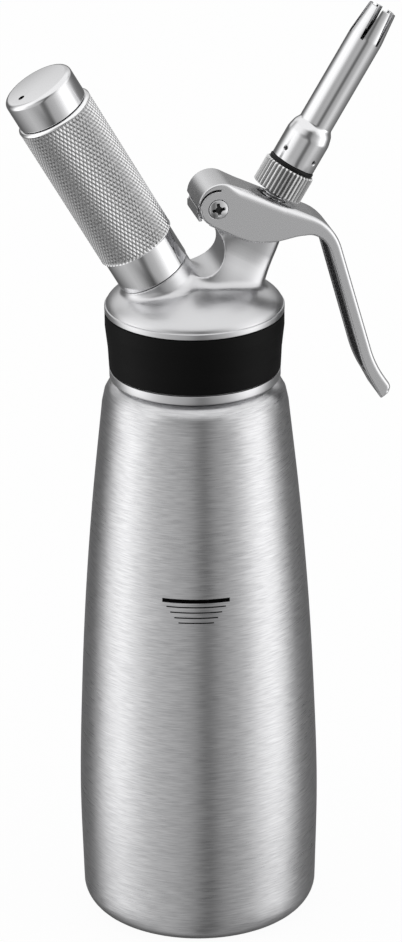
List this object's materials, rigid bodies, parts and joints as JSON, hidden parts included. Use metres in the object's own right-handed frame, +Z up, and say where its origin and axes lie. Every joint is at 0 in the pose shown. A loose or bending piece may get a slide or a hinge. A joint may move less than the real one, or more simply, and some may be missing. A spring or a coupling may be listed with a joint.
{
  "type": "whipped cream dispenser",
  "caption": "Half-litre whipped cream dispenser: steel bottle, screw-on head with sprung lever valve, charger holder and decorating nozzle.",
  "frame": {"origin": "middle of the flat ring-grooved base of the bottle, where it stands", "axes": "+Z up along the bottle's axis; the valve, lever and nozzle lean towards +X, the charger holder towards -X; the XZ plane is the head's plane of symmetry"},
  "size_m": [0.125, 0.0784, 0.3068],
  "materials": {
    "bottle_steel": "drawn steel with a fine horizontal brushing",
    "head_steel": "satin, lightly brushed casting",
    "lever_steel": "satin with bright rounded edges",
    "knurled_steel": "bright fine diamond knurl",
    "polished_steel": "mirror polished steel",
    "screw_steel": "bright plated",
    "machined_steel": "plain turned steel",
    "brass": "plain turned brass",
    "black_rubber": "matte black rubber",
    "band_silicone": "matte black silicone",
    "clear_silicone": "milky silicone",
    "black_plastic": "matte black plastic"
  },
  "bodies": {
    "bottle": {"bottle": "bottle_steel"},
    "head_thread": {"head_gasket": "clear_silicone"},
    "head": {"head": "head_steel", "grip_band": "band_silicone", "pivot_screw": "screw_steel", "pivot_nut": "machined_steel", "valve_bush": "brass", "stem_guide": "black_plastic", "stem_seal": "black_rubber", "pin_holder": "brass", "piercing_pin": "machined_steel", "charger_seal": "black_rubber", "check_valve": "black_rubber", "check_valve_screw": "brass", "valve_spring": "machined_steel"},
    "lever": {"lever": "lever_steel"},
    "valve": {"valve_stem": "machined_steel", "valve_poppet": "machined_steel", "poppet_seal": "black_rubber", "lever_collar": "machined_steel", "adapter": "machined_steel", "adapter_seal": "black_rubber", "spring_washer": "machined_steel"},
    "nozzle_thread": {"nozzle_gasket": "black_rubber"},
    "nozzle": {"nozzle": "polished_steel"},
    "charger": {"n2o_charger": "machined_steel"},
    "holder": {"holder_barrel": "knurled_steel", "holder_cap": "polished_steel", "holder_liner": "black_plastic", "holder_pad": "black_rubber"}
  },
  "joints": [
    {"name": "head_lift", "type": "slide", "parent": "bottle", "child": "head_thread", "axis": [0, 0, 1], "range_m": [0, 0.01]},
    {"name": "head_turn", "type": "hinge", "parent": "head_thread", "child": "head", "pos_m": [0, 0, 0.2], "axis": [0, 0, 1], "range_deg": [0, 901]},
    {"name": "lever_squeeze", "type": "hinge", "parent": "head", "child": "lever", "pos_m": [0.00621, 0, 0.24523], "axis": [0, 1, 0], "range_deg": [0, 10.01]},
    {"name": "valve_press", "type": "slide", "parent": "head", "child": "valve", "axis": [-0.515, 0, -0.8572], "range_m": [0, 0.00297], "stiffness_N_per_m": 1500, "springref_m": -0.004, "deforming": ["valve_spring"]},
    {"name": "nozzle_travel", "type": "slide", "parent": "valve", "child": "nozzle_thread", "axis": [0.515, 0, 0.8572], "range_m": [0, 0.003]},
    {"name": "nozzle_turn", "type": "hinge", "parent": "nozzle_thread", "child": "nozzle", "pos_m": [0.00409, 0, 0.2087], "axis": [0.515, 0, 0.8572], "range_deg": [0, 541]},
    {"name": "holder_travel", "type": "slide", "parent": "head", "child": "charger", "axis": [-0.4924, 0, 0.8704], "range_m": [0, 0.005]},
    {"name": "holder_turn", "type": "hinge", "parent": "charger", "child": "holder", "pos_m": [-0.00468, 0, 0.2087], "axis": [-0.4924, 0, 0.8704], "range_deg": [0, 721]}
  ],
  "couplings": [
    {"joint": "head_turn", "follows": "head_lift", "rad_per_m": 1570.8},
    {"joint": "lever_squeeze", "follows": "valve_press", "rad_per_m": 58.824},
    {"joint": "nozzle_turn", "follows": "nozzle_travel", "rad_per_m": 3141.6},
    {"joint": "holder_turn", "follows": "holder_travel", "rad_per_m": 2513.3}
  ]
}
